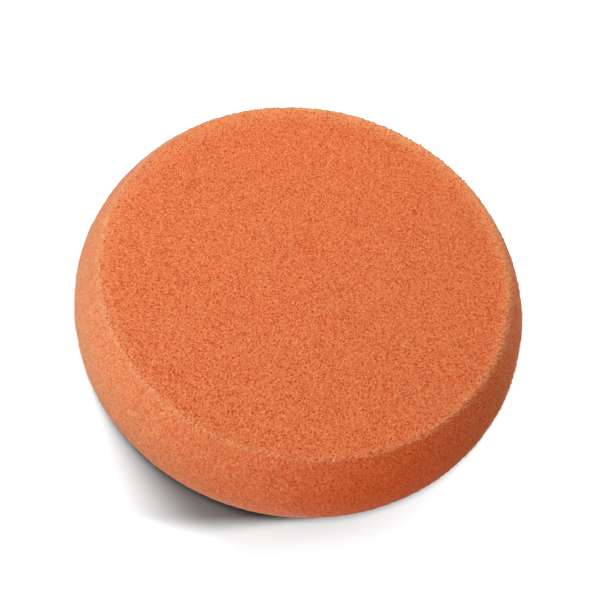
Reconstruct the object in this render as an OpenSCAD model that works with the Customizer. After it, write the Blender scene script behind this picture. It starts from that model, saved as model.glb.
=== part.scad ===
// Round foam polishing pad with a loop-fabric back.
// The pad lies on the tips of its loops at z = 0, with its axis on Z and the working face up.
// The origin is the centre of the back. All sizes are in millimetres.

/* [Pad] */
// Diameter at the widest plane of the wall
pad_d = 150; // [125:1:180]
// Height from the tips of the loops to the working face
pad_h = 30; // [26:0.5:34]

/* [Wall] */
// Radius of the bulging wall in section
bulge_r = 30; // [28.5:0.5:40]
// Height of the widest plane above the tips of the loops
widest_h = 9; // [6:0.2:12]
// Rounding between the wall and the working face
edge_r = 1.6; // [0.5:0.1:3]

/* [Backing] */
// How far the loop fabric stops short of the foam's back edge
backing_inset = 1; // [0.2:0.1:4]
// Height of the loops above the base fabric
pile_h = 1.2; // [0.8:0.1:2]
// Thickness of the knitted base fabric
knit_t = 0.6; // [0.3:0.1:1]
// Thickness of the hot-melt film between the fabric and the foam
film_t = 0.2; // [0.1:0.05:0.4]

/* [Hidden] */
$fn = 180;

// The layers, from the tips of the loops up
knit_z = pile_h;
film_z = knit_z + knit_t;
foam_z = film_z + film_t;

// The wall's arc, seen in section as [radius from the axis, height]
pad_r = pad_d / 2;
bulge_c = [pad_r - bulge_r, widest_h];
foam_back_r = bulge_c[0] + arc_reach(bulge_r, widest_h - foam_z);
backing_r = foam_back_r - backing_inset;

// The rounded edge touches the working face, and crosses the wall's arc by a hair
// so that the two join cleanly
edge_lap = 0.02;
edge_z = pad_h - edge_r;
edge_c = [bulge_c[0] + arc_reach(bulge_r - edge_r + edge_lap, edge_z - widest_h), edge_z];
edge_aim = (edge_c - bulge_c) / norm(edge_c - bulge_c);
edge_touch = bulge_c + edge_aim * bulge_r;

// How far an arc of radius r reaches sideways at a height h from its centre
function arc_reach(r, h) = sqrt(r * r - h * h);

// Half of the foam's section: a slice of the wall's arc with the rounded edge on top of it
module foam_section() {
    intersection() {
        translate(bulge_c) circle(r = bulge_r);
        translate([bulge_c[0], foam_z]) square([bulge_r, edge_touch[1] - foam_z]);
    }
    translate([0, foam_z]) square([bulge_c[0], edge_touch[1] - foam_z]);
    polygon([[0, edge_touch[1]], edge_touch, [edge_c[0], pad_h], [0, pad_h]]);
    translate(edge_c) circle(r = edge_r);
}

// A flat round layer of the backing
module backing_layer(z, thickness) {
    translate([0, 0, z]) cylinder(r = backing_r, h = thickness);
}

// Open-cell foam, turned to its rounded wall in one piece
module foam_disc() {
    color("#e0744a") rotate_extrude() foam_section();
}

// Hot-melt film that bonds the loop fabric to the foam
module adhesive_film() {
    color("#d8c9b4") backing_layer(film_z, film_t);
}

// Knitted base fabric that the loops are anchored in
module knit_backing() {
    color("#e9e7e2") backing_layer(knit_z, knit_t);
}

// Outer shape of the loops that the hooks of a backing plate hold
module loop_pile() {
    color("#f3f1ec") backing_layer(0, pile_h);
}

foam_disc();
adhesive_film();
knit_backing();
loop_pile();
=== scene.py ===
"""Polishing pad: open-cell foam on a loop-fabric back, lying face up on a pale studio floor."""

import math

import bpy
import numpy as np
from mathutils import Matrix, Vector


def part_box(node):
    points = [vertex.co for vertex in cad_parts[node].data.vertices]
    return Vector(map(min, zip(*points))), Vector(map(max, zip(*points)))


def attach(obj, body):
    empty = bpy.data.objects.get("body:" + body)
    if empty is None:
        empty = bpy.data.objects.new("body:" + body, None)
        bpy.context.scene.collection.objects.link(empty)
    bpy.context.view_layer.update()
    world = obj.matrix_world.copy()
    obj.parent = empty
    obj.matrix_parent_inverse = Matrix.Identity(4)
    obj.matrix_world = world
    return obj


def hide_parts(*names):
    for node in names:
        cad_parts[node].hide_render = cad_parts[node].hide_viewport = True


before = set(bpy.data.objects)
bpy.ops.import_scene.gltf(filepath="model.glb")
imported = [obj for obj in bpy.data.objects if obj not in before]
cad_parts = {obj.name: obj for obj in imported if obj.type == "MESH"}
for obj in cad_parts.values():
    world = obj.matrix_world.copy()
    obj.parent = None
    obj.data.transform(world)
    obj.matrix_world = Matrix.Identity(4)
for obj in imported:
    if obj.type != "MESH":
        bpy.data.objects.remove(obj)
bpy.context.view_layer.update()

MM = 0.001

# The pad's section, as the CAD has it. The parts' heights and diameters are read from model.glb.
FOAM_LOW, FOAM_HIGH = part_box("foam_disc")
FILM_LOW, FILM_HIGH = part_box("adhesive_film")
KNIT_LOW, KNIT_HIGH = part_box("knit_backing")
PILE_TOP_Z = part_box("loop_pile")[1][2]
PAD_R = FOAM_HIGH[0]
FACE_Z = FOAM_HIGH[2]
FOAM_BACK_Z = FOAM_LOW[2]
BACKING_R = KNIT_HIGH[0]
BULGE_R = 30.0 * MM
WIDEST_Z = 9.0 * MM
EDGE_R = 1.6 * MM
BACK_EDGE_R = 0.5 * MM

# The foam's surface: small cells, some big ones, strut tips between them, and a slow unevenness
CELL = 0.9 * MM
BIG_CELL = 2.4 * MM
PORE_DEPTH = 0.32 * MM
WALL_PORE_DEPTH = 0.7 * PORE_DEPTH
TIP = 0.45 * MM
TIP_HEIGHT = 0.3 * MM
WORN_TIP_HEIGHT = 2.5 * TIP_HEIGHT
SWELL = 0.25 * MM
SWELL_SIZE = 14 * MM
GRID = 300

# The crest of the rounded edge, where the pale band of wear and painted highlight peaks, is this far
# outside the rim of the flat face
CREST_OUT = 1.3 * MM

# Broken strut ends that stand out of the foam. They are dense within END_BAND of the crest. Each is as
# long as END_LENGTH and a random extra, and its foot is sunk into the foam by END_ROOT.
END_BAND = 3 * MM
END_ON_WALL = 0.4
END_CLEAR_OF_BACK = 2 * MM
END_ROOT = 0.1 * MM
END_LENGTH = 0.3 * MM
END_MEAN_EXTRA = 0.3 * MM
END_MOST_EXTRA = 1.3 * MM
END_THINNEST = 0.045 * MM
END_THICKEST = 0.08 * MM
END_LEAN = 0.45
# The strut ends' least mark on the pale band: a painted highlight for the light their thin fibres pass,
# less on the wall
END_HIGHLIGHT = 0.7
END_HIGHLIGHT_LOST_ON_WALL = 0.3

# The sizes of the foam's colour changes, and the depth of its finest grain
GRAIN = 0.6 * MM
BLOTCH = 1.1 * MM
CLOUD = 9 * MM
GRAIN_RELIEF = 0.15 * MM

# What the wall's mark comes to on the lit left, where the grain is painted calmer as if the light washed
# it out, and on the shaded right, where the grain is stronger, in its painted colour and in its depth
LIT_WALL_CALM = 1.5
SHADED_WALL_STRONG = 0.6

# The backing: a knit sheet with rows of yarn loops under it, and the film that glues it to the foam
WALE = 1.75 * MM
COURSE = 2.1 * MM
KNIT_RELIEF = 0.12 * MM
KNIT_GRID = 240
YARN_R = 0.27 * MM
LOOP_STEPS = 5
LOOP_SIDES = 4
LOOP_MARGIN = 0.9 * MM
LOOP_SCATTER = 0.15
FILM_BEAD = 0.35 * MM
FILM_WAVES = (5, 9, 14, 23, 37, 61, 97)

# The camera, which looks from this far at the working face, and shows its middle right of and above the
# picture's middle by FACE_OFF_CENTRE
CAMERA_DISTANCE = 5.3 * PAD_R
CAMERA_ELEVATION = math.radians(56.8)
CAMERA_ROLL = math.radians(12.6)
CAMERA_LENS = 74.6
FACE_OFF_CENTRE = Vector((3.55, 9.2)) * MM

# The studio. The floor is grey, and its own lamps bring it to white, so that its shadow shows little of
# the light that the pad throws on it. A painted contact shadow makes its colour darker within CONTACT of
# the pad.
STUDIO_R = 1.4
FLOOR_SHADE = 0.2
CONTACT = 3 * MM
CONTACT_SHADE = 0.5 * FLOOR_SHADE
LAMP_DISTANCE = 0.45
FLOOR_LAMP_DISTANCE = 5.0
WORLD_LIGHT = 0.28


# ---------------------------------------------------------------- helpers


def new_mesh(name, points, faces, smooth=True):
    """A mesh object with those points and faces."""
    mesh = bpy.data.meshes.new(name)
    mesh.from_pydata(points, [], faces)
    mesh.update()
    mesh.shade_smooth() if smooth else mesh.shade_flat()
    piece = bpy.data.objects.new(name, mesh)
    bpy.context.scene.collection.objects.link(piece)
    return piece


def ring_faces(upper, lower):
    """Faces between two rings of points that both go round anticlockwise, seen from above."""
    next_upper, next_lower = np.roll(upper, -1), np.roll(lower, -1)
    return np.stack([upper, lower, next_lower, next_upper], -1).tolist()


def cap_faces(ring, middle):
    """Faces from a ring to the point in its middle. They face down, or up where the ring is reversed."""
    return [(int(i), middle, int(j)) for i, j in zip(ring, np.roll(ring, -1))]


def circle(count):
    """The angles of that many points round a circle."""
    return np.arange(count) * 2 * math.pi / count


def ring_points(radius, turn, z):
    """One point for each angle, at that radius and height."""
    return np.stack([radius * np.cos(turn), radius * np.sin(turn), z + 0 * turn], -1)


def unit(vectors):
    """Those vectors at a length of one."""
    return vectors / np.linalg.norm(vectors, axis=-1, keepdims=True)


def read(items, field, size=1):
    """A field of a mesh's points or attribute as an array, with a row for each item."""
    values = np.empty(len(items) * size, np.float32)
    items.foreach_get(field, values)
    return values.reshape(-1, size) if size > 1 else values


def float_attribute(piece, name, values):
    """Stores one number for each vertex."""
    layer = piece.data.attributes.new(name, "FLOAT", "POINT")
    layer.data.foreach_set("value", np.asarray(values, np.float32))


def place(piece, slot, *nodes):
    """The piece rides on the pad and stands for those CAD nodes, which it hides. The slot is not used."""
    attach(piece, "root")
    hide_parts(*nodes)


class Nodes:
    """A short way to write node trees: every call adds a node and returns its output socket."""

    def __init__(self, tree):
        self.tree = tree

    def fill(self, socket, value):
        """Links a socket to the node's one, or sets its value."""
        if isinstance(value, bpy.types.NodeSocket):
            self.tree.links.new(value, socket)
        else:
            socket.default_value = value

    def add(self, kind, inputs=None, out=0, **settings):
        """A node with those settings and inputs."""
        node = self.tree.nodes.new(kind)
        for key, value in settings.items():
            setattr(node, key, value)
        for key, value in (inputs or {}).items():
            self.fill(node.inputs[key], value)
        return node.outputs[out]

    def math(self, operation, a, b=0.0, c=0.0):
        """A sum on up to three numbers."""
        return self.add("ShaderNodeMath", {0: a, 1: b, 2: c}, operation=operation)

    def ramp(self, value, low, high, to_low=0.0, to_high=1.0):
        """A smooth step: to_low where value is low, to_high where it is high."""
        return self.add(
            "ShaderNodeMapRange",
            {0: value, 1: low, 2: high, 3: to_low, 4: to_high},
            interpolation_type="SMOOTHSTEP",
        )

    def noise(self, at, size, detail=2.0, roughness=0.5):
        """Noise from 0 to 1, with lumps of about that size."""
        return self.add(
            "ShaderNodeTexNoise",
            {"Vector": at, "Scale": 1 / size, "Detail": detail, "Roughness": roughness},
        )

    def cells(self, at, size, out="Distance", feature="F1"):
        """Random cells of about that size: how far off their middle is, or their edge."""
        return self.add(
            "ShaderNodeTexVoronoi",
            {"Vector": at, "Scale": 1 / size, "Randomness": 1.0},
            out=out,
            feature=feature,
        )

    def chance(self, at, size):
        """A random number from 0 to 1 for each of those cells."""
        return self.add("ShaderNodeSeparateXYZ", {0: self.cells(at, size, out="Color")})

    def mix(self, share, a, b):
        """A mix of two colours."""
        return self.add("ShaderNodeMix", {0: share, 6: a, 7: b}, out=2, data_type="RGBA")

    def store(self, geometry, name, value, kind="FLOAT"):
        """The geometry with that value stored on each point."""
        return self.add(
            "GeometryNodeStoreNamedAttribute",
            {"Geometry": geometry, "Name": name, "Value": value},
            data_type=kind,
            domain="POINT",
        )


def linear(red, green, blue):
    """An sRGB colour of 0 to 255 as the linear one that a node takes."""
    parts = [c / 255 for c in (red, green, blue)]
    return tuple(c / 12.92 if c <= 0.04045 else ((c + 0.055) / 1.055) ** 2.4 for c in parts) + (1.0,)


def grey(shade):
    """A linear grey as a colour."""
    return (shade, shade, shade, 1.0)


def plain_material(name, roughness):
    """A new material, its node writer and its shader."""
    material = bpy.data.materials.new(name)
    material.use_nodes = True
    shader = material.node_tree.nodes["Principled BSDF"]
    shader.inputs["Roughness"].default_value = roughness
    return material, Nodes(material.node_tree), shader


def relief(n, shader, height, distance, strength=0.6):
    """Bump on the shader from that height."""
    bump = n.add("ShaderNodeBump", {"Height": height, "Strength": strength, "Distance": distance})
    n.fill(shader.inputs["Normal"], bump)


# ---------------------------------------------------------------- foam


def foam_cells(n, at):
    """From 0 on the struts to 1 in the open cells of the cut foam, at those places."""
    strut_width = 0.24
    shallowest = 0.45
    pore_floor, pore_rim = 0.12, 0.28
    pore_depth = 0.9
    closed_share, open_share = 0.5, 0.7
    from_strut = n.cells(at, CELL, feature="DISTANCE_TO_EDGE")
    depth = n.ramp(n.chance(at, CELL), 0.0, 1.0, shallowest, 1.0)
    small = n.math("MULTIPLY", n.ramp(from_strut, 0.0, strut_width), depth)
    pore = n.ramp(n.cells(at, BIG_CELL), pore_floor, pore_rim, pore_depth, 0.0)
    is_open = n.ramp(n.chance(at, BIG_CELL), closed_share, open_share)
    big = n.math("MULTIPLY", pore, is_open)
    return n.math("MAXIMUM", small, big)


def strut_tips(n, at):
    """From 0 to 1 where the broken end of a strut stands out of the foam."""
    tip_foot, tip_top = 0.6, 0.78
    return n.ramp(n.noise(at, TIP, detail=0.0), tip_foot, tip_top)


def arc(middle_r, middle_z, radius, start, end, steps):
    """Points along an arc from one angle to another, with both ends: radius and height."""
    angles = [start + (end - start) * i / steps for i in range(steps + 1)]
    return [(middle_r + radius * math.cos(a), middle_z + radius * math.sin(a)) for a in angles]


def foam_section():
    """The foam's outline from the rim of the flat face to its back edge: radius and height.

    Its points are a little closer together than the squares of the face are wide.
    """
    edge_z = FACE_Z - EDGE_R
    back_z = FOAM_BACK_Z + BACK_EDGE_R
    reach = math.sqrt((BULGE_R - EDGE_R) ** 2 - (edge_z - WIDEST_Z) ** 2)
    bulge_x = PAD_R - BULGE_R
    edge_x = bulge_x + reach
    top = math.pi / 2
    wall_start = math.atan2(edge_z - WIDEST_Z, reach)
    wall_end = math.asin((back_z - WIDEST_Z) / BULGE_R)
    step = 1.8 * edge_x / GRID
    edge_steps = max(4, round((top - wall_start) * EDGE_R / step))
    wall_steps = round((wall_start - wall_end) * BULGE_R / step)
    edge = arc(edge_x, edge_z, EDGE_R, top, wall_start, edge_steps)
    wall = arc(bulge_x, WIDEST_Z, BULGE_R, wall_start, wall_end, wall_steps)
    back_edge = arc(wall[-1][0] - BACK_EDGE_R, back_z, BACK_EDGE_R, 0, -top, 3)
    return edge[:-1] + wall + back_edge[1:]


def turned_disc(outline, grid):
    """Points and faces of a disc of even squares, a turned wall that follows the outline, and a flat back.

    The disc's squares come from a square grid that is mapped to the disc by rings of equal share.
    """
    rim_r, rim_z = outline[0]
    a, b = np.meshgrid(np.linspace(-1, 1, grid + 1), np.linspace(-1, 1, grid + 1), indexing="ij")
    wide = np.abs(a) > np.abs(b)
    big = np.where(wide, a, b)
    small = np.where(wide, b, a)
    ratio = np.divide(small, big, out=np.zeros_like(big), where=big != 0) * math.pi / 4
    angle = np.where(wide, ratio, math.pi / 2 - ratio)
    face = ring_points(rim_r * big, angle, rim_z)
    number = np.arange((grid + 1) ** 2).reshape(grid + 1, grid + 1)
    squares = np.stack([number[:-1, :-1], number[1:, :-1], number[1:, 1:], number[:-1, 1:]], -1)
    ring = np.concatenate([number[-1, :-1], number[:0:-1, -1], number[0, :0:-1], number[:-1, 0]])
    turn = circle(len(ring)) - math.pi / 4
    points = [face.reshape(-1, 3)]
    faces = squares.reshape(-1, 4).tolist()
    count = number.size
    for r, z in outline[1:]:
        points.append(ring_points(r, turn, z))
        lower = np.arange(count, count + len(ring))
        faces += ring_faces(ring, lower)
        count += len(ring)
        ring = lower
    points.append(np.array([[0, 0, outline[-1][1]]]))
    faces += cap_faces(ring, count)
    return np.concatenate(points), faces


def foam_marks(points, crest):
    """Three numbers for each point: is it cut foam, how worn and highlit is it, and is it wall.

    The second makes a pale band along the rounded edge: partly wear, and partly a painted highlight, which
    is stronger on the right, where the lamps leave the edge darker. On the far side, where the band is
    widest and strongest, it is also a painted sheen. The number for the wall goes past 1 on the left, and
    stays under it on the right, towards the near side, so that the grain is painted calmer on the lit left
    and stronger on the shaded right.
    """
    radius = np.hypot(points[:, 0], points[:, 1])
    height = points[:, 2]
    turn = np.arctan2(points[:, 1], points[:, 0])
    far = 0.5 + 0.5 * np.sin(turn)
    left = np.clip(-np.cos(turn), 0, 1)
    right = np.clip(np.cos(turn + math.radians(35)), 0, 1)
    skin = np.clip((height - FOAM_BACK_Z) / BACK_EDGE_R - 0.5, 0, 1)
    # The pale band is wear with a painted highlight. On the far side it is widened into a painted sheen
    width_in = (2.4 + 5 * far + 3 * left**2) * MM
    width_out = (0.5 + 5 * far**2) * MM
    lowest = FACE_Z - 1.5 * EDGE_R - 8 * MM * far**2
    inner = np.clip((radius - crest) / width_in + 1, 0, 1) ** 1.5
    outer = np.clip(1 - (radius - crest) / width_out, 0, 1) * (height > lowest)
    # Painted highlight: the band is stronger on the right, where less lamp light reaches the edge, and a
    # painted sheen makes it strongest on the far side
    strength = 0.78 + 0.22 * np.cos(turn + math.radians(20)) + 0.55 * far**3
    wear_and_highlight = strength * np.minimum(inner, outer)
    wall = np.clip((FACE_Z - 0.4 * EDGE_R - height) / EDGE_R, 0, 1)
    # The grain is painted calmer on the lit left, where this goes past 1, and stronger on the shaded right
    wall *= 1 + (LIT_WALL_CALM - 1) * left**2 - (1 - SHADED_WALL_STRONG) * right**2
    return {"skin": skin, "wear_and_highlight": wear_and_highlight, "wall": wall}


def open_cells(piece):
    """Sinks the open cells into the foam and raises the strut tips, as real geometry.

    It stores where each point was as "rest", and how open the foam is there as "open".
    """
    tree = bpy.data.node_groups.new("open_cells", "GeometryNodeTree")
    for way in ("INPUT", "OUTPUT"):
        tree.interface.new_socket("Geometry", in_out=way, socket_type="NodeSocketGeometry")
    n = Nodes(tree)
    at = n.add("GeometryNodeInputPosition")
    normal = n.add("GeometryNodeInputNormal")
    skin, wall, wear_and_highlight = (
        n.add("GeometryNodeInputNamedAttribute", {"Name": name}, data_type="FLOAT")
        for name in ("skin", "wall", "wear_and_highlight")
    )
    cells = foam_cells(n, at)
    depth = n.math("MULTIPLY", cells, n.ramp(wall, 0.0, 1.0, -PORE_DEPTH, -WALL_PORE_DEPTH))
    swell = n.math("MULTIPLY_ADD", n.noise(at, SWELL_SIZE, detail=1.0), 2 * SWELL, -SWELL)
    tips = n.math("MULTIPLY", strut_tips(n, at), n.ramp(wear_and_highlight, 0.0, 1.0, TIP_HEIGHT, WORN_TIP_HEIGHT))
    push = n.math("MULTIPLY", n.math("ADD", n.math("ADD", depth, swell), tips), skin)
    move = n.add("ShaderNodeVectorMath", {0: normal, "Scale": push}, operation="SCALE")
    with_rest = n.store(n.add("NodeGroupInput"), "rest", at, "FLOAT_VECTOR")
    with_open = n.store(with_rest, "open", cells)
    moved = n.add("GeometryNodeSetPosition", {"Geometry": with_open, "Offset": move})
    n.fill(tree.nodes.new("NodeGroupOutput").inputs[0], moved)
    piece.modifiers.new("open_cells", "NODES").node_group = tree
    graph = bpy.context.evaluated_depsgraph_get()
    mesh = bpy.data.meshes.new_from_object(piece.evaluated_get(graph))
    piece.modifiers.clear()
    piece.data = mesh


def strut_spikes(spots, normals, near_crest, rng):
    """Points and faces of thin three-sided spikes that stand on those spots, longest near the crest."""
    total = len(spots)
    aim = unit(normals + rng.normal(0, END_LEAN, (total, 3)))
    side = unit(np.cross(aim, rng.normal(0, 1, (total, 3))))
    other = np.cross(aim, side)
    extra = np.minimum(rng.exponential(END_MEAN_EXTRA, total) * (1 + 0.5 * near_crest), END_MOST_EXTRA)
    length = (END_LENGTH + extra)[:, None]
    radius = rng.uniform(END_THINNEST, END_THICKEST, total)[:, None]
    foot = spots - END_ROOT * aim
    points = [foot + radius * (math.cos(a) * side + math.sin(a) * other) for a in circle(3)]
    points.append(foot + aim * (length + END_ROOT))
    spike = np.array([[0, 1, 3], [1, 2, 3], [2, 0, 3], [2, 1, 0]])
    faces = spike + 4 * np.arange(total)[:, None, None]
    return np.stack(points, 1).reshape(-1, 3), faces.reshape(-1, 3)


def add_strut_ends(piece, crest):
    """Broken ends of struts that stand out of the foam: many at the rounded edge, fewer down the wall."""
    rng = np.random.default_rng(5)
    mesh = piece.data
    spots = read(mesh.vertices, "co", 3)
    normals = read(mesh.vertex_normals, "vector", 3)
    rest = read(mesh.attributes["rest"].data, "vector", 3)
    marks = {name: read(mesh.attributes[name].data, "value") for name in ("open", "wear_and_highlight", "wall", "skin")}
    height = spots[:, 2]
    on_strut = marks["open"] < 0.6
    on_wall = np.minimum(marks["wall"], 1)
    near_crest = np.clip(1 - np.abs(np.hypot(spots[:, 0], spots[:, 1]) - crest) / END_BAND, 0, 1)
    near_crest *= height > FACE_Z - 0.7 * EDGE_R
    chance = np.where(on_strut, np.maximum(near_crest, END_ON_WALL * on_wall), 0)
    chance *= height > FOAM_BACK_Z + END_CLEAR_OF_BACK
    roots = np.flatnonzero(rng.uniform(0, 1, len(spots)) < chance)
    points, faces = strut_spikes(spots[roots], normals[roots], near_crest[roots], rng)
    ends = new_mesh("strut_ends", points.tolist(), faces.tolist())
    # The strut ends are painted pale by the band's mark, a painted highlight for light through their thin
    # fibres
    marks["wear_and_highlight"] = np.maximum(marks["wear_and_highlight"], END_HIGHLIGHT - END_HIGHLIGHT_LOST_ON_WALL * on_wall)
    for name, values in marks.items():
        float_attribute(ends, name, np.repeat(values[roots], 4))
    layer = ends.data.attributes.new("rest", "FLOAT_VECTOR", "POINT")
    layer.data.foreach_set("vector", np.repeat(rest[roots], 4, axis=0).ravel())
    with bpy.context.temp_override(active_object=piece, selected_editable_objects=[piece, ends]):
        bpy.ops.object.join()


def foam_material():
    """Orange open-cell foam: painted shade in the cells, painted light on the tips and worn edge, and a
    sheen.
    """
    light = linear(219, 94, 47)
    deep = linear(213, 87, 41)
    tan = linear(212, 112, 59)
    pale = linear(234, 145, 95)
    worn_and_highlit = linear(243, 164, 109)
    far_rim_sheen = linear(236, 188, 143)
    pore_shade = linear(188, 50, 6)
    tip_highlight = linear(240, 158, 106)
    material, n, shader = plain_material("orange_foam", 0.95)
    rest = n.add("ShaderNodeAttribute", attribute_name="rest", out="Vector")
    wear_and_highlight = n.add("ShaderNodeAttribute", attribute_name="wear_and_highlight", out="Fac")
    wall = n.add("ShaderNodeAttribute", attribute_name="wall", out="Fac")
    cells = foam_cells(n, rest)
    grain = n.noise(rest, GRAIN, roughness=0.6)

    # Slow clouds, blotches, and pale grain over both
    colour = n.mix(n.ramp(n.noise(rest, CLOUD), 0.3, 0.7), light, deep)
    colour = n.mix(n.ramp(n.noise(rest, BLOTCH, detail=1.0), 0.35, 0.65), colour, tan)
    colour = n.mix(n.ramp(grain, 0.35, 0.7), colour, pale)

    # The worn edge with a painted highlight on it, and a painted sheen on its far crest, where the mark
    # goes past 1
    colour = n.mix(n.math("MULTIPLY", wear_and_highlight, n.ramp(grain, 0.1, 0.5)), colour, worn_and_highlit)
    colour = n.mix(n.ramp(wear_and_highlight, 0.7, 1.2, 0.0, 0.7), colour, far_rim_sheen)

    # Painted shade in the cells and a painted highlight on the strut tips, which show less on the wall
    # than on the face, and least on its lit left side, where the grain is painted calmer
    cells_on_face, cells_on_wall = 0.65, 0.5
    tips_on_face, tips_on_wall = 0.7, 0.35
    # Painted light: the cells and tips fade where the wall's number goes past 1, on the lit left
    lit_side_calm = n.ramp(wall, 1.0, LIT_WALL_CALM, 1.0, 0.6)
    pit_shade = n.math("MULTIPLY", n.math("POWER", cells, 4.0), 0.2)
    cell_contrast = n.math("MULTIPLY", n.ramp(wall, 0.0, 1.0, cells_on_face, cells_on_wall), lit_side_calm)
    cell_share = n.math("MULTIPLY", n.math("ADD", cells, pit_shade), cell_contrast)
    colour = n.mix(cell_share, colour, pore_shade)
    tip_contrast = n.math("MULTIPLY", n.ramp(wall, 0.0, 1.0, tips_on_face, tips_on_wall), lit_side_calm)
    colour = n.mix(n.math("MULTIPLY", strut_tips(n, rest), tip_contrast), colour, tip_highlight)

    n.fill(shader.inputs["Base Color"], colour)
    relief(n, shader, n.math("MULTIPLY", grain, 0.5), GRAIN_RELIEF, strength=0.5)
    shader.inputs["Specular IOR Level"].default_value = 0.15
    shader.inputs["Sheen Weight"].default_value = 0.65
    shader.inputs["Sheen Roughness"].default_value = 0.35
    shader.inputs["Sheen Tint"].default_value = linear(255, 222, 200)
    return material


def make_foam():
    """The foam disc, with its cells, its worn edge with painted highlight and sheen, and its broken
    struts.
    """
    outline = foam_section()
    points, faces = turned_disc(outline, GRID)
    piece = new_mesh("foam_pad", points.tolist(), faces)
    crest = outline[0][0] + CREST_OUT
    for name, values in foam_marks(points, crest).items():
        float_attribute(piece, name, values)
    open_cells(piece)
    add_strut_ends(piece, crest)
    piece.data.materials.append(foam_material())
    place(piece, "foam", "foam_disc")
    return piece


# ---------------------------------------------------------------- backing


def make_film():
    """The hot-melt film: a thin disc whose squeezed-out rim stands a little past the cloth.

    The rim is uneven: it stands out by a tenth of FILM_BEAD to all of it.
    """
    count = 720
    turn = circle(count)
    rng = np.random.default_rng(7)
    ooze = np.zeros(count)
    for waves in FILM_WAVES:
        ooze += np.cos(waves * turn + rng.uniform(0, 2 * math.pi)) / math.sqrt(waves)
    ooze = FILM_BEAD * (0.55 + 0.45 * ooze / np.abs(ooze).max())
    low, high = FILM_LOW[2], FILM_HIGH[2]
    bead_section = ((0.0, high), (0.6, high), (1.0, (low + high) / 2), (0.6, low), (0.0, low))
    points = [ring_points(BACKING_R + share * ooze, turn, z) for share, z in bead_section]
    points.append(np.array([[0, 0, high], [0, 0, low]]))
    rings = np.arange(len(bead_section) * count).reshape(-1, count)
    faces = cap_faces(rings[0, ::-1], rings.size) + cap_faces(rings[-1], rings.size + 1)
    for upper, lower in zip(rings, rings[1:]):
        faces += ring_faces(upper, lower)
    piece = new_mesh("hot_melt_film", np.concatenate(points).tolist(), faces)
    material, n, shader = plain_material("milky_film", 0.35)
    at = n.add("ShaderNodeTexCoord", out="Object")
    cloudy = n.ramp(n.noise(at, 2.5 * MM, detail=3.0), 0.3, 0.7)
    n.fill(shader.inputs["Base Color"], n.mix(cloudy, linear(228, 217, 196), linear(206, 190, 164)))
    relief(n, shader, n.noise(at, 0.8 * MM), 0.05 * MM)
    piece.data.materials.append(material)
    place(piece, "film", "adhesive_film")
    return piece


def make_knit():
    """The knit ground cloth, a slab whose underside has wales and courses between the loops.

    The material's stitches are twice as fine as those of the mesh.
    """
    outline = [(BACKING_R, KNIT_LOW[2]), (BACKING_R, KNIT_HIGH[2])]
    points, faces = turned_disc(outline, KNIT_GRID)
    under = points[:, 2] < (KNIT_LOW[2] + KNIT_HIGH[2]) / 2
    wales = np.cos(points[:, 0] * 2 * math.pi / WALE)
    courses = np.cos(points[:, 1] * 2 * math.pi / COURSE)
    inside = np.clip((BACKING_R - np.hypot(points[:, 0], points[:, 1])) / WALE, 0, 1)
    points[:, 2] += under * inside * KNIT_RELIEF * (0.5 - 0.25 * wales * (1 + courses))
    piece = new_mesh("knit_sheet", points.tolist(), [face[::-1] for face in faces])
    material, n, shader = plain_material("knit_cloth", 0.9)
    at = n.add("ShaderNodeTexCoord", out="Object")
    x = n.add("ShaderNodeSeparateXYZ", {0: at})
    y = x.node.outputs[1]
    wave_x = n.math("SINE", n.math("MULTIPLY", x, 4 * math.pi / WALE))
    wave_y = n.math("SINE", n.math("MULTIPLY", y, 4 * math.pi / COURSE))
    stitch = n.math("MULTIPLY_ADD", n.math("MULTIPLY", wave_x, wave_y), 0.5, 0.5)
    height = n.math("ADD", stitch, n.noise(at, 0.25 * MM))
    # Painted shade: the cloth is darker in the low parts of its stitches
    colour = n.mix(n.ramp(height, 0.5, 1.4), linear(196, 192, 184), linear(236, 234, 228))
    n.fill(shader.inputs["Base Color"], colour)
    relief(n, shader, height, KNIT_RELIEF)
    shader.inputs["Sheen Weight"].default_value = 0.3
    piece.data.materials.append(material)
    place(piece, "knit", "knit_backing")
    return piece


def loop_places(rng):
    """Where the loops hang, by loop: staggered rows, with each loop a little off its place."""
    reach = BACKING_R - LOOP_MARGIN
    columns = np.arange(-math.ceil(reach / WALE), math.ceil(reach / WALE) + 1)
    rows = np.arange(-math.ceil(reach / COURSE), math.ceil(reach / COURSE) + 1)
    row, column = (v.ravel() for v in np.meshgrid(rows, columns, indexing="ij"))
    x = (column + 0.5 * (row % 2)) * WALE
    y = row * COURSE
    inside = np.hypot(x, y) < reach
    x, y = x[inside], y[inside]
    x = x + rng.uniform(-LOOP_SCATTER, LOOP_SCATTER, len(x)) * WALE
    y = y + rng.uniform(-LOOP_SCATTER, LOOP_SCATTER, len(y)) * COURSE
    return x[:, None, None], y[:, None, None]


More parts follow.
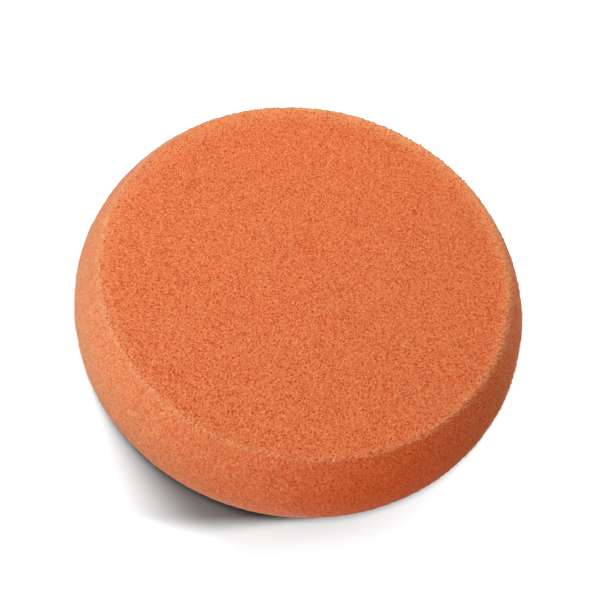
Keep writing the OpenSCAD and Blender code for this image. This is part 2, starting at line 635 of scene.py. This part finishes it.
def loop_tubes(rng, count):
    """Bent tubes of yarn that hang from the origin, all different: their points' x, y and z.

    Each is an array by loop, step along the yarn and side of the yarn.
    """
    width = WALE * rng.uniform(0.85, 1.2, count)[:, None, None]
    drop = (PILE_TOP_Z - 1.2 * YARN_R) * rng.uniform(0.78, 1.0, count)[:, None, None]
    lean = rng.normal(0, 0.3, count)[:, None, None] * MM
    yaw = rng.normal(0, 0.45, count)[:, None, None]
    t = np.linspace(0, math.pi, LOOP_STEPS + 1)[None, :, None]
    middle = np.concatenate([-width / 2 * np.cos(t), lean * np.sin(t), -drop * np.sin(t)], -1)
    along = unit(np.concatenate([width / 2 * np.sin(t), lean * np.cos(t), -drop * np.cos(t)], -1))
    side = unit(np.array([0, 1, 0]) - along[..., 1:2] * along)
    up = np.cross(along, side)
    thick = YARN_R * (0.85 + 0.3 * np.sin(t))
    corners = circle(LOOP_SIDES) + math.pi / LOOP_SIDES
    tube = np.stack([middle + thick * (math.cos(a) * side + math.sin(a) * up) for a in corners], 2)
    x, y, z = tube[..., 0], tube[..., 1], tube[..., 2]
    return np.cos(yaw) * x - np.sin(yaw) * y, np.sin(yaw) * x + np.cos(yaw) * y, z


def make_loops():
    """The hook-and-loop pile: staggered rows of yarn loops that hang from the knit down to the ground."""
    rng = np.random.default_rng(11)
    place_x, place_y = loop_places(rng)
    count = len(place_x)
    x, y, z = loop_tubes(rng, count)
    points = np.stack([place_x + x, place_y + y, np.maximum(PILE_TOP_Z + z, 0)], -1).reshape(-1, 3)
    one = np.arange((LOOP_STEPS + 1) * LOOP_SIDES).reshape(LOOP_STEPS + 1, LOOP_SIDES)
    following = np.roll(one, -1, axis=1)
    quads = np.stack([one[:-1], one[1:], following[1:], following[:-1]], -1).reshape(-1, 4)
    quads = np.concatenate([quads, one[:1], one[-1:, ::-1]])
    faces = (quads + (np.arange(count) * one.size)[:, None, None]).reshape(-1, 4)
    piece = new_mesh("pile_loops", points.tolist(), faces.tolist())
    float_attribute(piece, "tone", np.repeat(rng.uniform(0, 1, count), one.size))
    material, n, shader = plain_material("loop_yarn", 0.8)
    at = n.add("ShaderNodeTexCoord", out="Object")
    tone = n.add("ShaderNodeAttribute", attribute_name="tone", out="Fac")
    fibre = n.noise(at, 0.15 * MM)
    yarn = n.mix(tone, linear(232, 229, 222), linear(246, 245, 241))
    colour = n.mix(n.ramp(fibre, 0.35, 0.7), linear(208, 204, 196), yarn)
    n.fill(shader.inputs["Base Color"], colour)
    relief(n, shader, fibre, 0.08 * MM)
    shader.inputs["Sheen Weight"].default_value = 0.4
    piece.data.materials.append(material)
    place(piece, "pile", "loop_pile")
    return piece


# ---------------------------------------------------------------- studio


def make_floor():
    """A plain floor out to the backdrop, with a painted contact shadow where the pad stands close over it.
    """
    r = STUDIO_R
    corners = [(-r, -r, 0), (r, -r, 0), (r, r, 0), (-r, r, 0)]
    floor = new_mesh("floor", corners, [(0, 1, 2, 3)], smooth=False)
    material, n, shader = plain_material("floor_white", 1.0)
    hidden, open_sky = 0.3, 0.95
    # Painted contact shadow: the colour darkens where ambient occlusion finds the pad within CONTACT
    clear = n.add("ShaderNodeAmbientOcclusion", {"Distance": CONTACT}, out="AO")
    clear = n.ramp(clear, hidden, open_sky)
    n.fill(shader.inputs["Base Color"], n.mix(clear, grey(CONTACT_SHADE), grey(FLOOR_SHADE)))
    shader.inputs["Specular IOR Level"].default_value = 0.0
    floor.data.materials.append(material)
    floor.visible_diffuse = False
    return floor


def make_backdrop():
    """A white wall round the floor. It hides the floor's far edge in low views, and lights nothing."""
    count = 96
    foot = -10 * MM
    points = np.concatenate([ring_points(STUDIO_R, circle(count), z) for z in (foot, STUDIO_R)])
    ring = np.arange(count)
    following = np.roll(ring, -1)
    faces = np.stack([ring, following, count + following, count + ring], -1)
    backdrop = new_mesh("backdrop", points.tolist(), faces.tolist(), smooth=False)
    material, _, shader = plain_material("backdrop_white", 0.5)
    shader.inputs["Base Color"].default_value = grey(1.0)
    shader.inputs["Emission Color"].default_value = grey(1.0)
    shader.inputs["Emission Strength"].default_value = 1.0
    backdrop.data.materials.append(material)
    backdrop.visible_diffuse = False
    backdrop.visible_glossy = False
    backdrop.visible_shadow = False


def lamp(name, azimuth, elevation, distance, size, power, targets, tint=(1, 1, 1)):
    """A round soft lamp that looks at the pad from that direction, and lights only those objects.

    The angles are in degrees, the distance and the size in metres, and the power in watts.
    """
    light = bpy.data.lights.new(name, "AREA")
    light.shape = "DISK"
    light.size = size
    light.energy = power
    light.color = tint
    source = bpy.data.objects.new(name, light)
    a, e = math.radians(azimuth), math.radians(elevation)
    out = Vector((math.cos(a) * math.cos(e), math.sin(a) * math.cos(e), math.sin(e)))
    source.location = Vector((0, 0, FACE_Z)) + out * distance
    source.rotation_mode = "QUATERNION"
    source.rotation_quaternion = out.to_track_quat("Z", "Y")
    receivers = bpy.data.collections.new(name + "_lights")
    for target in targets:
        receivers.objects.link(target)
    source.light_linking.receiver_collection = receivers
    source.visible_camera = False
    bpy.context.scene.collection.objects.link(source)


def floor_lamp(name, azimuth, elevation, spread, share, floor):
    """A lamp for the floor alone, far off, as strong as gives the open floor that share of white.

    Its size is that spread times its distance.
    """
    distance = FLOOR_LAMP_DISTANCE
    power = share * (math.pi * distance) ** 2 / (FLOOR_SHADE * math.sin(math.radians(elevation)))
    lamp(name, azimuth, elevation, distance, spread * distance, power, [floor])


def make_world():
    """An even white sky that lights the pad a little from all round."""
    world = bpy.data.worlds.new("studio")
    world.use_nodes = True
    background = world.node_tree.nodes["Background"]
    background.inputs["Color"].default_value = grey(1.0)
    background.inputs["Strength"].default_value = WORLD_LIGHT
    bpy.context.scene.world = world


def make_camera():
    """The camera looks down on the face from the -Y side.

    It is rolled, so that the pad's near side points down and left, and the face is a little off centre.
    """
    data = bpy.data.cameras.new("camera")
    data.lens = CAMERA_LENS
    camera = bpy.data.objects.new("camera", data)
    roll = Matrix.Rotation(CAMERA_ROLL, 3, "Z")
    face = Vector((0, 0, FACE_Z))
    back = Vector((0, -math.cos(CAMERA_ELEVATION), math.sin(CAMERA_ELEVATION)))
    eye = face + back * CAMERA_DISTANCE
    straight = back.to_track_quat("Z", "Y").to_matrix() @ roll
    aim = face - straight @ Vector((*FACE_OFF_CENTRE, 0))
    look = (eye - aim).to_track_quat("Z", "Y").to_matrix() @ roll
    camera.matrix_world = Matrix.Translation(eye) @ look.to_4x4()
    bpy.context.scene.collection.objects.link(camera)
    bpy.context.scene.camera = camera


make_camera()
foam = make_foam()
film = make_film()
knit = make_knit()
loops = make_loops()
pad = [foam, film, knit, loops]
floor = make_floor()
make_backdrop()
make_world()

# The pad's lamps have an azimuth, an elevation, a distance, a size and a power. Those of the floor have an
# azimuth, an elevation, a spread and a share.
lamp("key", 150, 68, LAMP_DISTANCE, 0.3, 1.63, pad, tint=(1, 0.96, 0.95))
lamp("front_fill", 280, 5, LAMP_DISTANCE, 0.1, 0.63, [foam], tint=(1, 0.35, 0))
lamp("cool_rim", 212, 8, LAMP_DISTANCE, 0.2, 2.08, [foam], tint=(0.38, 0.78, 1))
lamp("warm_rim", 60, 12, LAMP_DISTANCE, 0.3, 0.84, [foam], tint=(1, 0.7, 0.27))
floor_lamp("floor_right", 15, 6, 0.2, 0.67, floor)
floor_lamp("floor_back", 45, 25, 1.0, 0.35, floor)
floor_lamp("floor_low_left", 132, 4, 0.75, 0.69, floor)
floor_lamp("floor_left", 170, 34, 0.6, 0.14, floor)

bpy.context.scene.view_settings.view_transform = "Standard"
